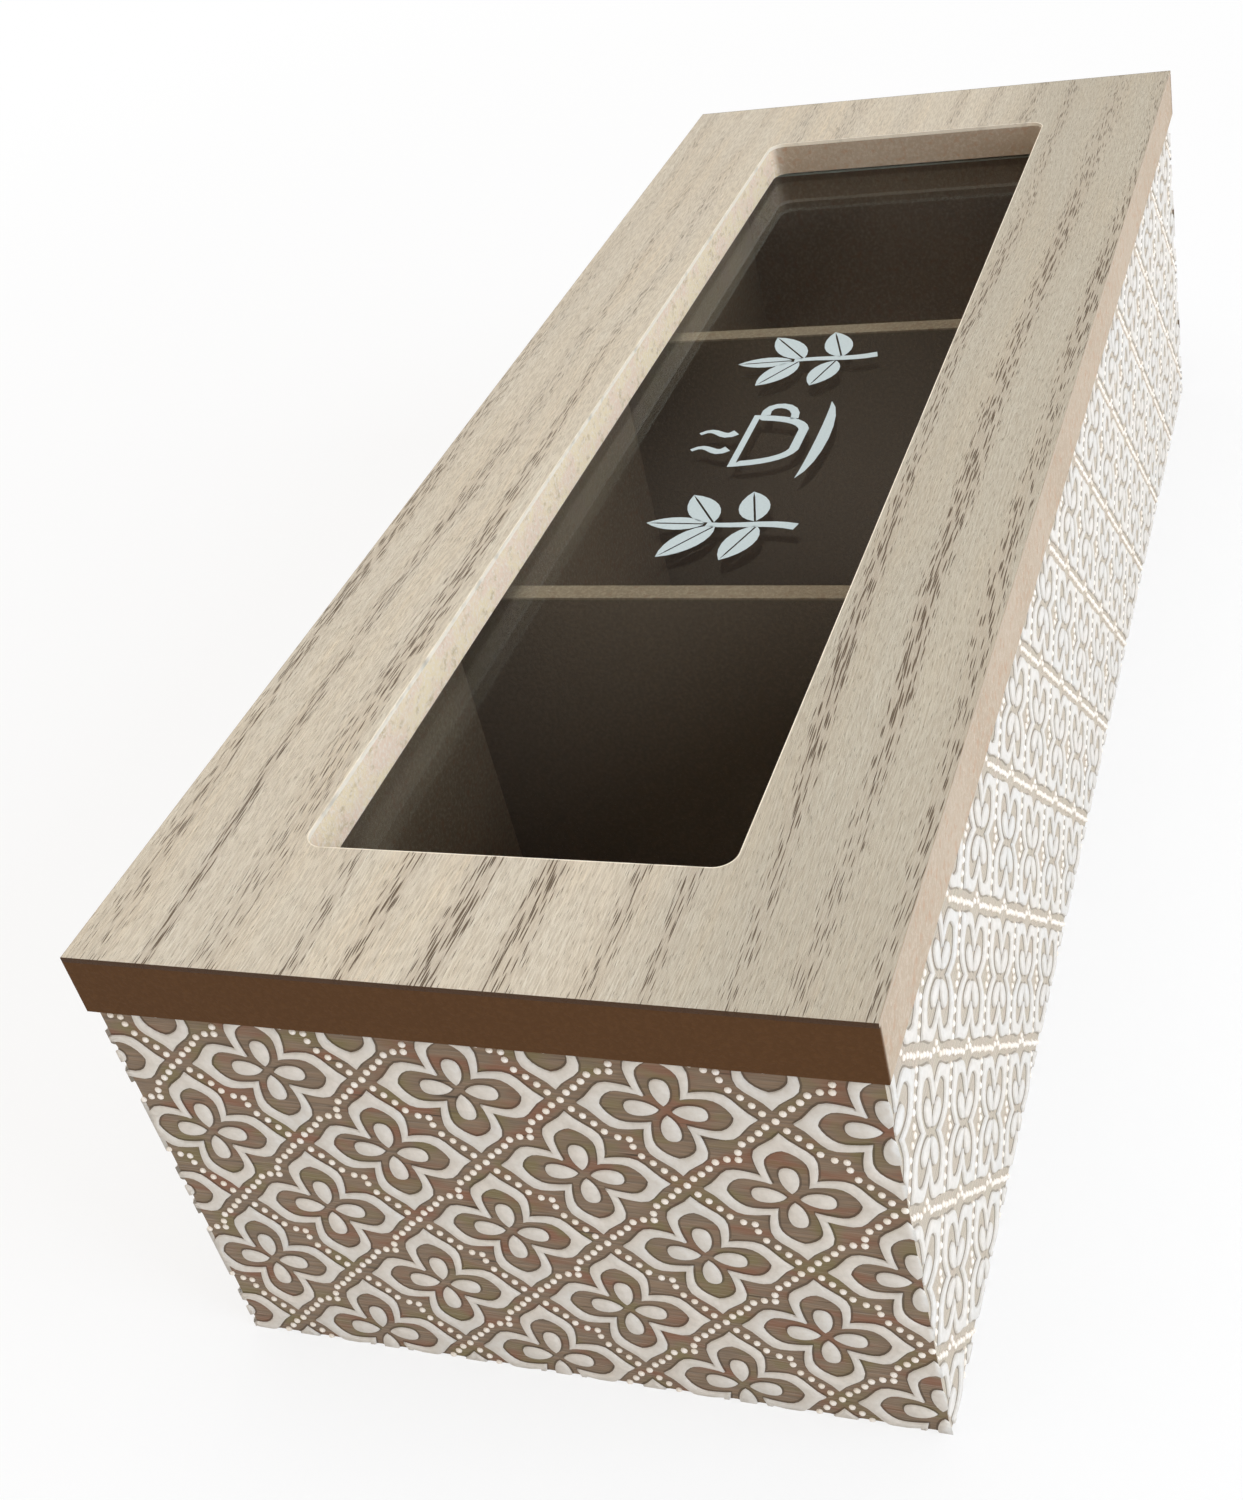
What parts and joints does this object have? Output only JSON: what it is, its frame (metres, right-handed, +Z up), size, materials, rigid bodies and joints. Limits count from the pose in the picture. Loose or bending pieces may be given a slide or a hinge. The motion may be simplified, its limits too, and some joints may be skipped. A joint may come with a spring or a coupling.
{
  "type": "tea bag organizer box",
  "caption": "Long low wooden box with square compartments for tea bags, a glass window in its hinged lid and carved trellis facings on its sides.",
  "frame": {"origin": "centre of the flat underside, on the surface the box stands on", "axes": "+X along the box's length to its right end, -Y towards its front, +Y towards its hinges, +Z up"},
  "size_m": [0.242, 0.093, 0.064],
  "materials": {
    "fibreboard": "sawn fibreboard, raw on the lid, stained deep brown inside the body, matte",
    "carved_facing": "limewashed relief over brown wood, matte",
    "divider_board": "fibreboard, stained deep brown on its faces, raw on its top edge, matte",
    "pale_veneer": "open-pored pale veneer, satin",
    "clear_glass": "polished",
    "print_ink": "white screen ink on the glass, satin",
    "clear_glue": "clear set glue",
    "hinge_brass": "rolled brass, satin",
    "screw_brass": "turned brass"
  },
  "bodies": {
    "box": {"front_wall": "fibreboard", "back_wall": "fibreboard", "left_end_wall": "fibreboard", "right_end_wall": "fibreboard", "front_facing": "carved_facing", "back_facing": "carved_facing", "left_end_facing": "carved_facing", "right_end_facing": "carved_facing", "bottom_board": "fibreboard", "left_divider": "divider_board", "right_divider": "divider_board", "left_hinge_body_leaf": "hinge_brass", "left_hinge_pin": "hinge_brass", "right_hinge_body_leaf": "hinge_brass", "right_hinge_pin": "hinge_brass", "hinge_body_screws": "screw_brass"},
    "lid": {"lid_frame": "fibreboard", "lid_veneer": "pale_veneer", "glass_pane": "clear_glass", "glass_glue_bead": "clear_glue", "left_hinge_lid_leaf": "hinge_brass", "right_hinge_lid_leaf": "hinge_brass", "hinge_lid_screws": "screw_brass"}
  },
  "joints": [
    {"name": "lid_hinge", "type": "hinge", "parent": "box", "child": "lid", "pos_m": [0, 0.0464, 0.056], "axis": [-1, 0, 0], "range_deg": [0, 195]}
  ]
}
